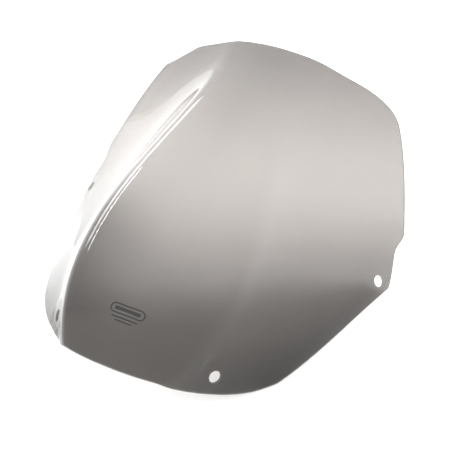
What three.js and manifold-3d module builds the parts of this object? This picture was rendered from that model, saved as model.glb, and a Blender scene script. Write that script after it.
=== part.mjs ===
// Windshield screen of a motorcycle fairing: one thermoformed acrylic sheet with four fixing holes,
// and a plain generic mark printed low on its outer face.
//
// Millimetres, +Z up, +X to the rider's side of the mirror plane that the sheet is symmetric about,
// -Y the front of the motorcycle. The sheet stands on its two lower side edges. The origin is the
// centre of the underside of its bounding box.
//
// The sheet is described twice: flat, by its blank, and formed, by a rule that bends the blank.
// A place on the blank is (across, along): across is measured round the sheet from its crest line,
// and along is measured up the crest line from the front.

import * as THREE from 'three';
import { mergeVertices } from 'three/addons/utils/BufferGeometryUtils.js';
import Module from 'manifold-3d';

// Sheet
const SHEET_THICKNESS = 3;
const RAKE = THREE.MathUtils.degToRad(19.5);
const CREST_LENGTH = 400;
const CREST_BULGE = 26.5;
const CROWN_ANGLE = 11;

// Cross-sections of the sheet at four stations along the crest, arcs in mm and angles in degrees.
// From the crest out, the slope grows slowly over the crown, grows over the bend to the flank angle
// and falls back over the flare by the flare angle.
const STATIONS = [
  { along: 0, bendStart: 45, bendArc: 35, flankAngle: 76, flareStart: 60, flareArc: 70, flareAngle: 29 },
  { along: 135, bendStart: 53, bendArc: 51, flankAngle: 66, flareStart: 75, flareArc: 101, flareAngle: 16 },
  { along: 270, bendStart: 25, bendArc: 50, flankAngle: 51, flareStart: 63, flareArc: 129, flareAngle: 8 },
  { along: 405, bendStart: 25, bendArc: 57, flankAngle: 30, flareStart: 79, flareArc: 151, flareAngle: 7 },
];

// Fixing holes: the front pair in the lower corners and the rear pair in the ears.
const HOLE_DIAMETER = 12.5;
const HOLES = [
  { across: 114, along: 20 },
  { across: 250, along: 215 },
];
const SEAT_DIAMETER = 19;
const SEAT_FLAT_RADIUS = 11;
const SEAT_BLEND_RADIUS = 24;
const SEAT_RELIEF = 0.15;

// Printed mark
const MARK_ALONG = 31;
const MARK_WIDTH = 37;
const MARK_HEIGHT = 9.6;
const MARK_STROKE = 1.2;
const MARK_BAR_WIDTH = 27;
const MARK_BAR_HEIGHT = 3.2;
const MARK_LINE_HEIGHT = 1;
const MARK_LINE_PITCH = 3.1;
const MARK_LINE_WIDTHS = { upper: 28, lower: 18 };
const INK_THICKNESS = 0.25;
const INK_GAP = 0.3;

// Fineness of the faceted solids
const ACROSS_STEPS = 40;
const ALONG_STEPS = 24;
const BEND_COLUMN = 0.27;
const BEND_CROWDING = 0.6;
const BEND_STEP = 2;
const ROUND_SIDES = 36;

const wasm = await Module();
wasm.setup();

// ---- Forming rule ---------------------------------------------------------------------------

function smootherStep(t) {
  const c = THREE.MathUtils.clamp(t, 0, 1);
  return c * c * c * (c * (6 * c - 15) + 10);
}

// The cross-section at any place along: each dimension is the cubic through the four stations.
function sectionAt(along) {
  const section = {};
  for (const station of STATIONS) {
    let weight = 1;
    for (const other of STATIONS) {
      if (other !== station) weight *= (along - other.along) / (station.along - other.along);
    }
    for (const [name, value] of Object.entries(station)) {
      section[name] = (section[name] ?? 0) + weight * value;
    }
  }
  return section;
}

function slopeAt(section, arc) {
  const part = Math.min(arc / section.bendStart, 1.5);
  const crown = CROWN_ANGLE * (part < 0.5 ? part : 1 - (1.5 - part) ** 2 / 2);
  const bend = smootherStep((arc - section.bendStart) / section.bendArc);
  const flare = smootherStep((arc - section.flareStart) / section.flareArc);
  const slope = crown + (section.flankAngle - CROWN_ANGLE) * bend - section.flareAngle * flare;
  return THREE.MathUtils.degToRad(slope);
}

// A point of the formed outer face, before the seats of the holes are flattened.
function bendPoint(across, along) {
  const section = sectionAt(along);
  const arc = Math.abs(across);
  const steps = Math.max(1, Math.ceil(arc / BEND_STEP));
  const step = arc / steps;
  let out = 0;
  let depth = 0;
  for (let i = 0; i < steps; i += 1) {
    const slope = slopeAt(section, (i + 0.5) * step);
    out += Math.cos(slope) * step;
    depth += Math.sin(slope) * step;
  }
  const u = along / CREST_LENGTH;
  const height = 4 * CREST_BULGE * u * (1 - u) - depth;
  return new THREE.Vector3(
    Math.sign(across) * out,
    along * Math.cos(RAKE) - height * Math.sin(RAKE),
    along * Math.sin(RAKE) + height * Math.cos(RAKE),
  );
}

// The tangents and outward normal of a surface function at a place on the blank.
function frameOf(surface, across, along) {
  const reach = 0.5;
  const tangentAcross = surface(across + reach, along).sub(surface(across - reach, along));
  const tangentAlong = surface(across, along + reach).sub(surface(across, along - reach));
  const normal = new THREE.Vector3().crossVectors(tangentAcross, tangentAlong).normalize();
  return { tangentAcross, tangentAlong, normal };
}

const seats = HOLES.flatMap(({ across, along }) => [-1, 1].map((side) => {
  const centre = bendPoint(side * across, along);
  return { across: side * across, along, centre, ...frameOf(bendPoint, side * across, along) };
}));

// The formed outer face: the bent blank, pressed flat around each hole.
function outerPoint(across, along) {
  const point = bendPoint(across, along);
  for (const seat of seats) {
    const da = across - seat.across;
    const ds = along - seat.along;
    const beyond = (Math.hypot(da, ds) - SEAT_FLAT_RADIUS) / (SEAT_BLEND_RADIUS - SEAT_FLAT_RADIUS);
    if (beyond < 1) {
      const flat = seat.centre.clone();
      flat.addScaledVector(seat.tangentAcross, da);
      flat.addScaledVector(seat.tangentAlong, ds);
      point.lerp(flat, 1 - smootherStep(beyond));
    }
  }
  return point;
}

// A point at a height above the outer face, negative inside the sheet.
function formedPoint(across, along, height) {
  const { normal } = frameOf(outerPoint, across, along);
  return outerPoint(across, along).addScaledVector(normal, height);
}

// ---- Blank ----------------------------------------------------------------------------------

// Half of the blank's outline, in three runs that meet at the ear and at the top corner.
const frontEdge = new THREE.Path();
frontEdge.moveTo(0, -22);
frontEdge.quadraticCurveTo(45, -22, 81, -9.3);
frontEdge.quadraticCurveTo(140, 11.4, 168.5, 37.1);
frontEdge.quadraticCurveTo(181.8, 49.1, 185, 53.7);
frontEdge.quadraticCurveTo(222, 107.7, 254, 186.1);
frontEdge.quadraticCurveTo(265.2, 213.5, 265.8, 216);

const rearEdge = new THREE.Path();
rearEdge.moveTo(265.8, 216);
rearEdge.quadraticCurveTo(267, 221, 251.1, 251.3);
rearEdge.quadraticCurveTo(247.2, 258.7, 248.2, 268);
rearEdge.quadraticCurveTo(249, 275.5, 245, 280.9);
rearEdge.quadraticCurveTo(194.6, 348.4, 168.7, 375);

const topEdge = new THREE.Path();
topEdge.moveTo(0, 384);
topEdge.quadraticCurveTo(30.3, 384, 96.7, 391.5);
topEdge.quadraticCurveTo(147.3, 397.2, 168.7, 375);

// A place on the right half of the blank, from the crest (u = 0) to the rear edge (u = 1) and from
// the front edge (v = 0) to the top edge (v = 1), so that a grid of them fits the outline exactly.
function blankPlace(u, v) {
  const front = frontEdge.getPoint(u);
  const top = topEdge.getPoint(u);
  const rear = rearEdge.getPoint(v);
  const frontCentre = frontEdge.getPoint(0);
  const topCentre = topEdge.getPoint(0);
  const crest = frontCentre.clone().lerp(topCentre, v);
  const ear = rearEdge.getPoint(0);
  const topCorner = rearEdge.getPoint(1);
  const blend = (a, b, t, key) => a[key] * (1 - t) + b[key] * t;
  const coons = (key) => blend(front, top, v, key) + blend(crest, rear, u, key)
    - (1 - v) * blend(frontCentre, ear, u, key) - v * blend(topCentre, topCorner, u, key);
  return new THREE.Vector2(coons('x'), coons('y'));
}

// The columns of the grid crowd together where the sheet bends most.
function sheetPlace(column, row) {
  const t = Math.abs(column / ACROSS_STEPS - 1);
  const wave = Math.sin(2 * Math.PI * (t - BEND_COLUMN)) + Math.sin(2 * Math.PI * BEND_COLUMN);
  const place = blankPlace(t - (BEND_CROWDING / (2 * Math.PI)) * wave, row / ALONG_STEPS);
  return column < ACROSS_STEPS ? place.setX(-place.x) : place;
}

// ---- Solids ---------------------------------------------------------------------------------

// A closed plate that follows the formed sheet. placeAt gives the blank place of each grid point,
// and the plate fills the space between the two heights. A closed grid joins its last column to
// its first.
function plateGeometry(columns, rows, placeAt, low, high, closed = false) {
  const positions = [];
  for (const height of [high, low]) {
    for (let i = 0; i < columns; i += 1) {
      for (let j = 0; j < rows; j += 1) {
        const place = placeAt(i, j);
        positions.push(...formedPoint(place.x, place.y, height).toArray());
      }
    }
  }
  const lower = columns * rows;
  const vertex = (i, j) => (i % columns) * rows + j;
  const index = [];
  const quad = (a, b, c, d) => index.push(a, b, c, a, c, d);
  const lastColumn = closed ? columns : columns - 1;
  for (let i = 0; i < lastColumn; i += 1) {
    for (let j = 0; j < rows - 1; j += 1) {
      const [a, b, c, d] = [vertex(i, j), vertex(i + 1, j), vertex(i + 1, j + 1), vertex(i, j + 1)];
      quad(a, b, c, d);
      quad(lower + d, lower + c, lower + b, lower + a);
    }
    const [a, b] = [vertex(i, 0), vertex(i + 1, 0)];
    const [c, d] = [vertex(i, rows - 1), vertex(i + 1, rows - 1)];
    quad(b, a, lower + a, lower + b);
    quad(c, d, lower + d, lower + c);
  }
  if (!closed) {
    for (let j = 0; j < rows - 1; j += 1) {
      const [a, b] = [vertex(0, j), vertex(0, j + 1)];
      const [c, d] = [vertex(columns - 1, j), vertex(columns - 1, j + 1)];
      quad(a, b, lower + b, lower + a);
      quad(d, c, lower + c, lower + d);
    }
  }
  const geometry = new THREE.BufferGeometry();
  geometry.setAttribute('position', new THREE.Float32BufferAttribute(positions, 3));
  geometry.setIndex(index);
  return geometry;
}

function toManifold(geometry) {
  const bare = geometry.clone();
  bare.deleteAttribute('normal');
  bare.deleteAttribute('uv');
  const merged = mergeVertices(bare);
  return new wasm.Manifold(new wasm.Mesh({
    numProp: 3,
    vertProperties: new Float32Array(merged.attributes.position.array),
    triVerts: new Uint32Array(merged.index.array),
  }));
}

function toGeometry(solid) {
  const { vertProperties, triVerts } = solid.getMesh();
  const geometry = new THREE.BufferGeometry();
  geometry.setAttribute('position', new THREE.BufferAttribute(vertProperties, 3));
  geometry.setIndex(new THREE.BufferAttribute(triVerts, 1));
  return geometry;
}

// A round bar along a seat's normal, centred half way through the sheet.
function barThrough(seat, diameter, length) {
  const bar = new THREE.CylinderGeometry(diameter / 2, diameter / 2, length, ROUND_SIDES);
  const turn = new THREE.Quaternion().setFromUnitVectors(new THREE.Vector3(0, 1, 0), seat.normal);
  const middle = seat.centre.clone().addScaledVector(seat.normal, -SHEET_THICKNESS / 2);
  bar.applyQuaternion(turn);
  bar.translate(middle.x, middle.y, middle.z);
  return toManifold(bar);
}

function screenSheet() {
  const columns = 2 * ACROSS_STEPS + 1;
  const blank = plateGeometry(columns, ALONG_STEPS + 1, sheetPlace, -SHEET_THICKNESS, 0);
  let sheet = toManifold(blank);
  for (const seat of seats) {
    sheet = sheet.add(barThrough(seat, SEAT_DIAMETER, SHEET_THICKNESS + 2 * SEAT_RELIEF));
    sheet = sheet.subtract(barThrough(seat, HOLE_DIAMETER, 8 * SHEET_THICKNESS));
  }
  return toGeometry(sheet);
}

// A straight bar of ink that lies on the outer face.
function inkBar(width, height, along) {
  const columns = 9;
  const rows = 3;
  const placeAt = (i, j) => new THREE.Vector2(
    width * (i / (columns - 1) - 0.5),
    along + height * (j / (rows - 1) - 0.5),
  );
  return plateGeometry(columns, rows, placeAt, INK_GAP, INK_GAP + INK_THICKNESS);
}

// A loop of ink with round ends. Its grid runs round the loop, and its rows cross the stroke.
function inkLoop(width, height, stroke, along) {
  const sides = 64;
  const radius = height / 2;
  const straight = width / 2 - radius;
  const rim = new THREE.Path();
  rim.absarc(straight, along, radius, -Math.PI / 2, Math.PI / 2);
  rim.absarc(-straight, along, radius, Math.PI / 2, (3 * Math.PI) / 2);
  rim.closePath();
  const places = rim.getSpacedPoints(sides);
  const placeAt = (i, j) => {
    const middle = new THREE.Vector2(THREE.MathUtils.clamp(places[i].x, -straight, straight), along);
    return places[i].clone().lerp(middle, (stroke * j) / radius);
  };
  return plateGeometry(sides, 2, placeAt, INK_GAP, INK_GAP + INK_THICKNESS, true);
}

// ---- Assembly -------------------------------------------------------------------------------

const acrylic = { color: 0x6f6d6a, roughness: 0.06, metalness: 0 };
const ink = { color: 0x2b2b2c, roughness: 0.45, metalness: 0 };

function piece(name, geometry, finish) {
  geometry.computeVertexNormals();
  const mesh = new THREE.Mesh(geometry, new THREE.MeshStandardMaterial(finish));
  mesh.name = name;
  return mesh;
}

const sheetGeometry = screenSheet();
const upperLine = MARK_ALONG - MARK_HEIGHT / 2 - MARK_LINE_PITCH;
const lowerLine = upperLine - MARK_LINE_PITCH;

const windshield = new THREE.Group();
windshield.add(
  piece('screen_sheet', sheetGeometry, acrylic),
  piece('mark_border', inkLoop(MARK_WIDTH, MARK_HEIGHT, MARK_STROKE, MARK_ALONG), ink),
  piece('mark_bar', inkBar(MARK_BAR_WIDTH, MARK_BAR_HEIGHT, MARK_ALONG), ink),
  piece('mark_line_upper', inkBar(MARK_LINE_WIDTHS.upper, MARK_LINE_HEIGHT, upperLine), ink),
  piece('mark_line_lower', inkBar(MARK_LINE_WIDTHS.lower, MARK_LINE_HEIGHT, lowerLine), ink),
);

sheetGeometry.computeBoundingBox();
const { min, max } = sheetGeometry.boundingBox;
windshield.position.set(0, -(min.y + max.y) / 2, -min.z);

export default windshield;
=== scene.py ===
"""Looks of a motorcycle windshield screen: one smoke-tinted sheet, polished at its edges, with four
fixing holes, and a plain generic mark printed low on its outer face.

Metres in Blender, millimetres in the forming rule. The sheet is made flat and then formed, by the
rule that its CAD solid follows: a place on the blank is (across, along), measured round the sheet
from its crest line and up the crest line from the front.
"""

import math

import bpy
import numpy as np
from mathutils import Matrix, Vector
from mathutils.geometry import delaunay_2d_cdt


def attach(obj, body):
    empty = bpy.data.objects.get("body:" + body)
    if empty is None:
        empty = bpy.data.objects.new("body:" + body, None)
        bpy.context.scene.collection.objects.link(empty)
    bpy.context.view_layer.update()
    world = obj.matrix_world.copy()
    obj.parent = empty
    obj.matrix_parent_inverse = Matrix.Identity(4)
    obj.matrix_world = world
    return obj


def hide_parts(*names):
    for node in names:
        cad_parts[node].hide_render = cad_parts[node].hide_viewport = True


MM = 0.001

# Sheet, in mm and degrees, as in the CAD
SHEET_THICKNESS = 3.0
RAKE = math.radians(19.5)
CREST_LENGTH = 400.0
CREST_BULGE = 26.5
CROWN_ANGLE = 11.0
STATION_ALONG = (0, 135, 270, 405)
STATIONS = {
    "bend_start": (45, 53, 25, 25),
    "bend_arc": (35, 51, 50, 57),
    "flank_angle": (76, 66, 51, 30),
    "flare_start": (60, 75, 63, 79),
    "flare_arc": (70, 101, 129, 151),
    "flare_angle": (29, 16, 8, 7),
}
HOLE_DIAMETER = 12.5
HOLES = ((114, 20), (250, 215))
SEAT_FLAT_RADIUS = 11.0
SEAT_BLEND_RADIUS = 24.0

# Half of the blank's outline: a start, then a control point and an end for each curve
OUTLINE_START = (0, -22)
OUTLINE = (
    ((45, -22), (81, -9.3)),
    ((140, 11.4), (168.5, 37.1)),
    ((181.8, 49.1), (185, 53.7)),
    ((222, 107.7), (254, 186.1)),
    ((265.2, 213.5), (265.8, 216)),
    ((267, 221), (251.1, 251.3)),
    ((247.2, 258.7), (248.2, 268)),
    ((249, 275.5), (245, 280.9)),
    ((194.6, 348.4), (168.7, 375)),
    ((147.3, 397.2), (96.7, 391.5)),
    ((30.3, 384), (0, 384)),
)

# Fineness of the visual mesh
EDGE_STEP = 1.6
EDGE_ROUND = 1.0
EDGE_ROUND_STEPS = 4
HOLE_ROUND = 0.35
HOLE_SIDES = 72
GRID_ACROSS = 2.6
GRID_ALONG = 3.6
GRID_CLEARANCE = 0.6 * GRID_ACROSS
BEND_STEPS = 140
# Triangulation: only faces inside the loops, and the distance at which points are one
CDT_INSIDE = 1
CDT_EPSILON = 1e-6


# ---- Forming rule ---------------------------------------------------------------------------


def smoother_step(t):
    c = np.clip(t, 0, 1)
    return c * c * c * (c * (6 * c - 15) + 10)


def section_at(along):
    """Each dimension of the cross-section: the cubic through the four stations."""
    weights = []
    for here in STATION_ALONG:
        weight = np.ones_like(along)
        for other in STATION_ALONG:
            if other != here:
                weight = weight * (along - other) / (here - other)
        weights.append(weight)
    return {name: sum(w * v for w, v in zip(weights, values)) for name, values in STATIONS.items()}


def slope_at(section, arc):
    """How far the face leans at an arc from the crest. The crown's lean rises and levels off, the
    bend takes it on to the flank's, and the flare takes some of it back."""
    part = np.minimum(arc / section["bend_start"], 1.5)
    crown = CROWN_ANGLE * np.where(part < 0.5, part, 1 - (1.5 - part) ** 2 / 2)
    bend = smoother_step((arc - section["bend_start"]) / section["bend_arc"])
    flare = smoother_step((arc - section["flare_start"]) / section["flare_arc"])
    slope = crown + (section["flank_angle"] - CROWN_ANGLE) * bend - section["flare_angle"] * flare
    return np.radians(slope)


def bend_point(across, along):
    """The formed outer face before the seats of the holes are flattened, one row for each place."""
    section = section_at(along)
    step = np.abs(across) / BEND_STEPS
    out = np.zeros_like(across)
    depth = np.zeros_like(across)
    for i in range(BEND_STEPS):
        slope = slope_at(section, (i + 0.5) * step)
        out += np.cos(slope) * step
        depth += np.sin(slope) * step
    u = along / CREST_LENGTH
    height = 4 * CREST_BULGE * u * (1 - u) - depth
    return np.stack((
        np.sign(across) * out,
        along * math.cos(RAKE) - height * math.sin(RAKE),
        along * math.sin(RAKE) + height * math.cos(RAKE),
    ), axis=-1)


def unit(vectors):
    return vectors / np.linalg.norm(vectors, axis=-1, keepdims=True)


def frame_of(surface, across, along):
    """Tangents across and along, and the outward normal."""
    reach = 0.5
    tangent_across = surface(across + reach, along) - surface(across - reach, along)
    tangent_along = surface(across, along + reach) - surface(across, along - reach)
    return tangent_across, tangent_along, unit(np.cross(tangent_across, tangent_along))


def seat_at(across, along):
    """The flat that the sheet is pressed to around a hole."""
    place = (np.array([float(across)]), np.array([float(along)]))
    tangent_across, tangent_along, normal = frame_of(bend_point, *place)
    return {
        "across": across,
        "along": along,
        "centre": bend_point(*place)[0],
        "tangent_across": tangent_across[0],
        "tangent_along": tangent_along[0],
        "normal": normal[0],
    }


SEATS = [seat_at(side * across, along) for across, along in HOLES for side in (-1, 1)]


def outer_point(across, along):
    """The formed outer face: the bent blank, pressed flat around each hole."""
    points = bend_point(across, along)
    for seat in SEATS:
        da = across - seat["across"]
        ds = along - seat["along"]
        beyond = (np.hypot(da, ds) - SEAT_FLAT_RADIUS) / (SEAT_BLEND_RADIUS - SEAT_FLAT_RADIUS)
        flat = seat["centre"] + da[:, None] * seat["tangent_across"] + ds[:, None] * seat["tangent_along"]
        press = (1 - smoother_step(beyond))[:, None]
        points = points * (1 - press) + flat * press
    return points


# ---- Blank ----------------------------------------------------------------------------------


def outline_loop():
    """The blank's whole outline, front to top on the right and back down on the left."""
    half = [np.array(OUTLINE_START, float)]
    for control, end in OUTLINE:
        a, b, c = half[-1], np.array(control, float), np.array(end, float)
        length = np.linalg.norm(b - a) + np.linalg.norm(c - b)
        steps = max(3, math.ceil(length / EDGE_STEP))
        for t in np.linspace(0, 1, steps + 1)[1:]:
            half.append(a * (1 - t) ** 2 + 2 * b * t * (1 - t) + c * t * t)
    right = np.array(half)
    left = right[-2:0:-1] * (-1, 1)
    return np.vstack((right, left))


def hole_loop(seat):
    """The places on the blank whose formed points lie on the hole's circle, clockwise."""
    basis = np.stack((seat["tangent_across"], seat["tangent_along"]), axis=1)
    first = unit(seat["tangent_across"])
    second = np.cross(seat["normal"], first)
    places = []
    for i in range(HOLE_SIDES):
        angle = -2 * math.pi * i / HOLE_SIDES
        spoke = HOLE_DIAMETER / 2 * (math.cos(angle) * first + math.sin(angle) * second)
        shift = np.linalg.lstsq(basis, spoke, rcond=None)[0]
        places.append((seat["across"] + shift[0], seat["along"] + shift[1]))
    return np.array(places)


class Rim:
    """One trimmed edge of the sheet: its loop on the blank, and the frame along it."""

    def __init__(self, loop, rounding):
        self.rounding = rounding
        across, along = loop[:, 0], loop[:, 1]
        self.base = outer_point(across, along)
        tangent_across, tangent_along, self.normal = frame_of(outer_point, across, along)
        run = unit(np.roll(self.base, -1, axis=0) - np.roll(self.base, 1, axis=0))
        self.inward = unit(np.cross(self.normal, run))
        shifts = []
        for i in range(len(loop)):
            basis = np.stack((tangent_across[i], tangent_along[i]), axis=1)
            shifts.append(np.linalg.lstsq(basis, rounding * self.inward[i], rcond=None)[0])
        self.face_loop = loop + np.array(shifts)

    def profile(self):
        """Rings from the outer face round to the inner one: (inset, height, turn of the normal)."""
        rings = []
        for step in range(EDGE_ROUND_STEPS + 1):
            turn = math.pi / 2 * step / EDGE_ROUND_STEPS
            inset = self.rounding * (1 - math.sin(turn))
            height = -self.rounding * (1 - math.cos(turn))
            rings.append((inset, height, turn))
        for inset, height, turn in list(reversed(rings)):
            rings.append((inset, -SHEET_THICKNESS - height, math.pi - turn))
        return rings


# ---- Mesh -----------------------------------------------------------------------------------


def inside_polygon(points, polygon):
    """Which points are inside a closed polygon, by the crossings of a ray."""
    x, y = points[:, 0], points[:, 1]
    inside = np.zeros(len(points), bool)
    for (x0, y0), (x1, y1) in zip(polygon, np.roll(polygon, -1, axis=0)):
        if y0 != y1:
            crosses = (y0 > y) != (y1 > y)
            inside ^= crosses & (x < (x1 - x0) * (y - y0) / (y1 - y0) + x0)
    return inside


def distance_to_loops(points, loops):
    """From each point to the nearest place of any loop."""
    nearest = np.full(len(points), np.inf)
    for loop in loops:
        for place in loop:
            nearest = np.minimum(nearest, np.hypot(points[:, 0] - place[0], points[:, 1] - place[1]))
    return nearest


def blank_grid(outline, holes):
    """Staggered places all over the blank that keep clear of its rims."""
    width = outline[:, 0].max()
    columns = int(width / GRID_ACROSS) + 1
    rows = np.arange(outline[:, 1].min(), outline[:, 1].max(), GRID_ALONG)
    places = []
    for row, along in enumerate(rows):
        offset = 0.0 if row % 2 else GRID_ACROSS / 2
        across = (np.arange(-columns, columns + 1) * GRID_ACROSS) + offset
        places.append(np.stack((across, np.full_like(across, along)), axis=-1))
    points = np.vstack(places)
    points = points[inside_polygon(points, outline)]
    for hole in holes:
        points = points[~inside_polygon(points, hole)]
    return points[distance_to_loops(points, [outline, *holes]) > GRID_CLEARANCE]


def triangulate(loops):
    """The blank's places and triangles, and the place that each point of the loops became."""
    given = np.vstack((*loops, blank_grid(loops[0], loops[1:])))
    edges = []
    first = 0
    for loop in loops:
        count = len(loop)
        edges += [(first + i, first + (i + 1) % count) for i in range(count)]
        first += count
    flat = delaunay_2d_cdt([Vector(p) for p in given], edges, [], CDT_INSIDE, CDT_EPSILON)
    places = np.array([tuple(v) for v in flat[0]])
    became = {old: new for new, olds in enumerate(flat[3]) for old in olds}
    triangles = np.array(flat[2])
    middles = places[triangles].mean(axis=1)
    keep = inside_polygon(middles, loops[0])
    for loop in loops[1:]:
        keep &= ~inside_polygon(middles, loop)
    return places, triangles[keep], became


def sheet_mesh():
    """The whole sheet as one closed mesh, with the exact normals of the formed surface."""
    rims = [Rim(outline_loop(), EDGE_ROUND)] + [Rim(hole_loop(seat), HOLE_ROUND) for seat in SEATS]
    places, triangles, became = triangulate([rim.face_loop for rim in rims])
    outer = outer_point(places[:, 0], places[:, 1])
    normals = frame_of(outer_point, places[:, 0], places[:, 1])[2]
    count = len(places)
    points = [outer, outer - normals * SHEET_THICKNESS]
    directions = [normals, -normals]
    faces = [tuple(t) for t in triangles] + [tuple(count + t[::-1]) for t in triangles]
    rim_faces_from = len(faces)
    total = 2 * count
    first = 0
    for rim in rims:
        size = len(rim.face_loop)
        face_ring = [became[first + i] for i in range(size)]
        first += size
        previous = face_ring
        for inset, height, turn in rim.profile()[1:-1]:
            points.append(rim.base + rim.inward * inset + rim.normal * height)
            directions.append(rim.normal * math.cos(turn) - rim.inward * math.sin(turn))
            ring = list(range(total, total + size))
            total += size
            faces += ring_faces(previous, ring)
            previous = ring
        faces += ring_faces(previous, [count + i for i in face_ring])
    return np.vstack(points) * MM, faces, np.vstack(directions), rim_faces_from


def ring_faces(upper, lower):
    """The band of quads between two rings of as many points."""
    size = len(upper)
    return [
        (upper[i], lower[i], lower[(i + 1) % size], upper[(i + 1) % size])
        for i in range(size)
    ]


def make_sheet(materials):
    points, faces, directions, rim_faces_from = sheet_mesh()
    low, high = points.min(axis=0), points.max(axis=0)
    points -= (0, (low[1] + high[1]) / 2, low[2])
    mesh = bpy.data.meshes.new("screen_sheet_formed")
    mesh.from_pydata(points.tolist(), [], faces)
    for material in materials:
        mesh.materials.append(material)
    slots = np.zeros(len(faces), np.int32)
    slots[rim_faces_from:] = 1
    mesh.polygons.foreach_set("material_index", slots)
    mesh.polygons.foreach_set("use_smooth", np.ones(len(faces), bool))
    mesh.update()
    mesh.normals_split_custom_set_from_vertices(directions.tolist())
    piece = bpy.data.objects.new("screen_sheet_formed", mesh)
    bpy.context.scene.collection.objects.link(piece)
    return piece


# ---- Materials ------------------------------------------------------------------------------


def node_material(name):
    material = bpy.data.materials.new(name)
    material.use_nodes = True
    tree = material.node_tree
    tree.nodes.clear()
    return material, tree


def add_node(tree, kind, inputs=None, **settings):
    """A node, with each of its inputs linked to a socket or given a value."""
    node = tree.nodes.new(kind)
    for name, value in settings.items():
        setattr(node, name, value)
    for key, value in (inputs or {}).items():
        if isinstance(value, bpy.types.NodeSocket):
            tree.links.new(value, node.inputs[key])
        else:
            node.inputs[key].default_value = value
    return node


def calculate(tree, operation, *values):
    return add_node(tree, "ShaderNodeMath", dict(enumerate(values)), operation=operation).outputs[0]


def set_surface(tree, shader):
    add_node(tree, "ShaderNodeOutputMaterial", {"Surface": shader.outputs[0]})


# Smoke tint with painted shade: the light that the whole thickness passes, by height on a scale.
# The smoke tint is the sheet's own, and its grading is painted shade: darkest at the front and
# bottom, where the floor seen through the sheet lies in its shadow, lightest a little above the
# middle, and darker again at the top. The scale runs from the front and bottom of the sheet, 0, to
# its top, 1, along the direction given for the distance from the mirror plane, +Y and +Z, between
# two distances in metres.
TINT_AND_PAINTED_SHADE = ((0.0, 0.07), (0.35, 0.15), (0.52, 0.28), (0.75, 0.2), (1.0, 0.12))
PAINTED_SHADE_DIRECTION = (-0.288, 0.558, 0.778)
PAINTED_SHADE_FROM, PAINTED_SHADE_TO = -0.12, 0.26
WARMTH = (1.0, 0.935, 0.89)
INDEX = 1.49
FACE_ROUGHNESS = 0.015

EDGE_BODY = (0.14, 0.136, 0.133, 1)
EDGE_CLEAR = (0.7, 0.69, 0.68, 1)
EDGE_BODY_SHARE = 0.45
EDGE_ROUGHNESS = 0.22

INK_COLOUR = (0.012, 0.012, 0.013, 1)
INK_ROUGHNESS = 0.42


# Painted shade: where each point lies on the scale that darkens the tint towards the front, bottom and
# top
def painted_shade_height(tree):
    place = add_node(tree, "ShaderNodeTexCoord").outputs["Object"]
    parts = add_node(tree, "ShaderNodeSeparateXYZ", {0: place}).outputs
    aside = calculate(tree, "ABSOLUTE", parts["X"])
    terms = [
        calculate(tree, "MULTIPLY", part, weight)
        for part, weight in zip((aside, parts["Y"], parts["Z"]), PAINTED_SHADE_DIRECTION)
    ]
    distance = calculate(tree, "ADD", calculate(tree, "ADD", terms[0], terms[1]), terms[2])
    limits = {"Value": distance, "From Min": PAINTED_SHADE_FROM, "From Max": PAINTED_SHADE_TO}
    return add_node(tree, "ShaderNodeMapRange", limits, clamp=True).outputs["Result"]


def smoked_acrylic():
    material, tree = node_material("smoked_acrylic")
    # This ramp paints shade into the smoke tint, darker towards the front, bottom and top of the sheet
    ramp = add_node(tree, "ShaderNodeValToRGB", {"Fac": painted_shade_height(tree)})
    ramp.color_ramp.interpolation = "B_SPLINE"
    elements = ramp.color_ramp.elements
    while len(elements) < len(TINT_AND_PAINTED_SHADE):
        elements.new(0.5)
    for element, (position, tint_and_shade) in zip(elements, TINT_AND_PAINTED_SHADE):
        element.position = position
        # Light crosses two faces, so each passes the square root
        element.color = (*(math.sqrt(tint_and_shade * w) for w in WARMTH), 1)
    clear = add_node(tree, "ShaderNodeBsdfTransparent", {"Color": ramp.outputs["Color"]})
    polish = {"Color": (1, 1, 1, 1), "Roughness": FACE_ROUGHNESS}
    gloss = add_node(tree, "ShaderNodeBsdfAnisotropic", polish)
    # The outer face mirrors. What the inner face mirrors is lost in the tint.
    inner = add_node(tree, "ShaderNodeNewGeometry").outputs["Backfacing"]
    fresnel = add_node(tree, "ShaderNodeFresnel", {"IOR": INDEX}).outputs[0]
    mirrored = calculate(tree, "MULTIPLY", fresnel, calculate(tree, "SUBTRACT", 1, inner))
    faces = {"Fac": mirrored, 1: clear.outputs[0], 2: gloss.outputs[0]}
    set_surface(tree, add_node(tree, "ShaderNodeMixShader", faces))
    return material


def edge_acrylic():
    """The cut and polished edge, where the tint is seen through the depth of the sheet."""
    material, tree = node_material("acrylic_edge")
    body_look = {"Base Color": EDGE_BODY, "Roughness": EDGE_ROUGHNESS}
    body = add_node(tree, "ShaderNodeBsdfPrincipled", body_look)
    clear = add_node(tree, "ShaderNodeBsdfTransparent", {"Color": EDGE_CLEAR})
    parts = {"Fac": EDGE_BODY_SHARE, 1: clear.outputs[0], 2: body.outputs[0]}
    set_surface(tree, add_node(tree, "ShaderNodeMixShader", parts))
    return material


def printed_ink():
    material, tree = node_material("printed_ink")
    look = {"Base Color": INK_COLOUR, "Roughness": INK_ROUGHNESS}
    set_surface(tree, add_node(tree, "ShaderNodeBsdfPrincipled", look))
    return material


# ---- Studio ---------------------------------------------------------------------------------

# Floor: its reach from the middle, and how far it and the cards lie from the part's base
FLOOR_REACH = 6.0
FLOOR_HEIGHT = -0.0005
FLOOR_COLOUR = (0.9, 0.9, 0.9, 1)
CARD_HEIGHT = 0.0002

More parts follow.
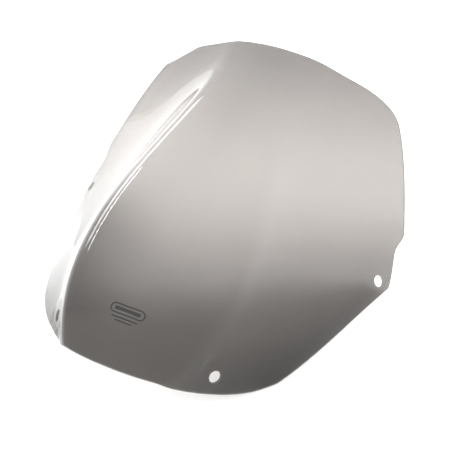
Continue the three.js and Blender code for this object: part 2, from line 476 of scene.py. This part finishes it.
# Lamps: place, point aimed at, width and height in metres, power in watts
SIDE_SOFTBOX = ((-1.35, 0.52, 0.58), (0, 0.2, 0.1), (1.05, 0.24), 6)
SIDE_TUBE = ((-1.32, 0.13, 0.94), (0, 0, 0.08), (0.68, 0.035), 2.6)
FRONT_FILL = ((-0.5, -1.2, 0.34), (-0.05, -0.15, 0), (0.8, 0.25), 18)
LEFT_FLOOR = ((-1.5, 1.2, 1.1), (-1.5, 1.2, 0), (1.0, 1.0), 10)
# Spots: place, point aimed at, power in watts, whole angle of the cone
BACK_SPOTS = (
    ((0.4, 1.55, 1.13), (-0.04, 0.015, 0), 1090, math.radians(18)),
    ((-0.4, 1.55, 1.13), (0.11, 0.075, 0), 450, math.radians(14)),
)
SPOT_RADIUS = 0.35
WORLD_STRENGTH = 1.15

# Cards on the floor: opposite corners in metres, and glow. They are seen only mirrored in the
# sheet, and keep the lit patch of floor beside it out of the mirror image.
NEAR_CARD = ((-0.12, -5.9), (5.9, 5.9), WORLD_STRENGTH)
FAR_CARD = ((-1.6, -0.6), (-0.2, 1.2), 2.0)


def lay_plane(name, low, high, height):
    (x0, y0), (x1, y1) = low, high
    mesh = bpy.data.meshes.new(name)
    mesh.from_pydata([(x0, y0, 0), (x1, y0, 0), (x1, y1, 0), (x0, y1, 0)], [], [(0, 1, 2, 3)])
    plane = bpy.data.objects.new(name, mesh)
    bpy.context.scene.collection.objects.link(plane)
    plane.location = (0, 0, height)
    material, tree = node_material(name)
    mesh.materials.append(material)
    return plane, tree


def make_floor():
    tree = lay_plane("studio_floor", (-FLOOR_REACH,) * 2, (FLOOR_REACH,) * 2, FLOOR_HEIGHT)[1]
    set_surface(tree, add_node(tree, "ShaderNodeBsdfDiffuse", {"Color": FLOOR_COLOUR}))


def make_card(name, low, high, glow):
    card, tree = lay_plane(name, low, high, CARD_HEIGHT)
    set_surface(tree, add_node(tree, "ShaderNodeEmission", {"Strength": glow}))
    card.visible_camera = card.visible_diffuse = False
    card.visible_transmission = card.visible_shadow = False


def place_lamp(light, place, aim):
    lamp = bpy.data.objects.new(light.name, light)
    lamp.location = place
    lamp.rotation_mode = "QUATERNION"
    lamp.rotation_quaternion = (Vector(aim) - Vector(place)).to_track_quat("-Z", "Y")
    bpy.context.scene.collection.objects.link(lamp)
    return lamp


def make_area(name, place, aim, size, power):
    light = bpy.data.lights.new(name, "AREA")
    light.shape = "RECTANGLE"
    light.size, light.size_y = size
    light.energy = power
    return place_lamp(light, place, aim)


def make_spot(place, aim, power, cone):
    light = bpy.data.lights.new("back_spot", "SPOT")
    light.energy = power
    light.spot_size = cone
    light.spot_blend = 1
    light.shadow_soft_size = SPOT_RADIUS
    return place_lamp(light, place, aim)


def make_light():
    world = bpy.data.worlds.new("studio")
    world.use_nodes = True
    background = world.node_tree.nodes["Background"]
    background.inputs["Color"].default_value = (1, 1, 1, 1)
    background.inputs["Strength"].default_value = WORLD_STRENGTH
    bpy.context.scene.world = world
    make_area("side_softbox", *SIDE_SOFTBOX)
    make_area("side_tube", *SIDE_TUBE)
    # These light the floor, and the sheet doesn't mirror them
    unmirrored = [make_area("front_fill", *FRONT_FILL), make_area("left_floor", *LEFT_FLOOR)]
    unmirrored += [make_spot(*spot) for spot in BACK_SPOTS]
    for lamp in unmirrored:
        lamp.visible_glossy = False


# Camera: on a sensor 36 mm wide, a lens in mm, its shift in widths of the picture, and the view's
# azimuth, elevation and distance in metres from the point that it looks at
SENSOR_WIDTH = 36
LENS = 75.664
LENS_SHIFT = (0.08363, -0.05133)
AZIMUTH = math.radians(27.3)
ELEVATION = math.radians(38.9)
DISTANCE = 0.95
AIM = (0, -0.03408, 0.125205)
CLIP_START, CLIP_END = 0.05, 20


def make_camera():
    data = bpy.data.cameras.new("camera")
    data.sensor_width = SENSOR_WIDTH
    data.lens = LENS
    data.shift_x, data.shift_y = LENS_SHIFT
    data.clip_start, data.clip_end = CLIP_START, CLIP_END
    camera = bpy.data.objects.new("camera", data)
    back = Vector((
        math.sin(AZIMUTH) * math.cos(ELEVATION),
        -math.cos(AZIMUTH) * math.cos(ELEVATION),
        math.sin(ELEVATION),
    ))
    camera.location = Vector(AIM) + back * DISTANCE
    camera.rotation_mode = "QUATERNION"
    camera.rotation_quaternion = (-back).to_track_quat("-Z", "Y")
    bpy.context.scene.collection.objects.link(camera)
    bpy.context.scene.camera = camera


# ---- Scene ----------------------------------------------------------------------------------

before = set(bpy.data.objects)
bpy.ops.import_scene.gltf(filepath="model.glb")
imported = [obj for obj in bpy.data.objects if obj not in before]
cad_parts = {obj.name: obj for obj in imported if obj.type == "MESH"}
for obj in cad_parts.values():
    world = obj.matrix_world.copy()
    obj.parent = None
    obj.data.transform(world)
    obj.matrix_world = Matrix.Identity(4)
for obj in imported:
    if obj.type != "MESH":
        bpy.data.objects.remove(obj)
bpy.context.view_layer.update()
bpy.context.scene.view_settings.view_transform = "Standard"
make_camera()
make_floor()
make_card("near_card", *NEAR_CARD)
make_card("far_card", *FAR_CARD)
make_light()

sheet = make_sheet((smoked_acrylic(), edge_acrylic()))
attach(sheet, "root")
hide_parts("screen_sheet")

ink = printed_ink()
for name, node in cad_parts.items():
    if name.startswith("mark_"):
        for slot in node.material_slots:
            slot.material = ink
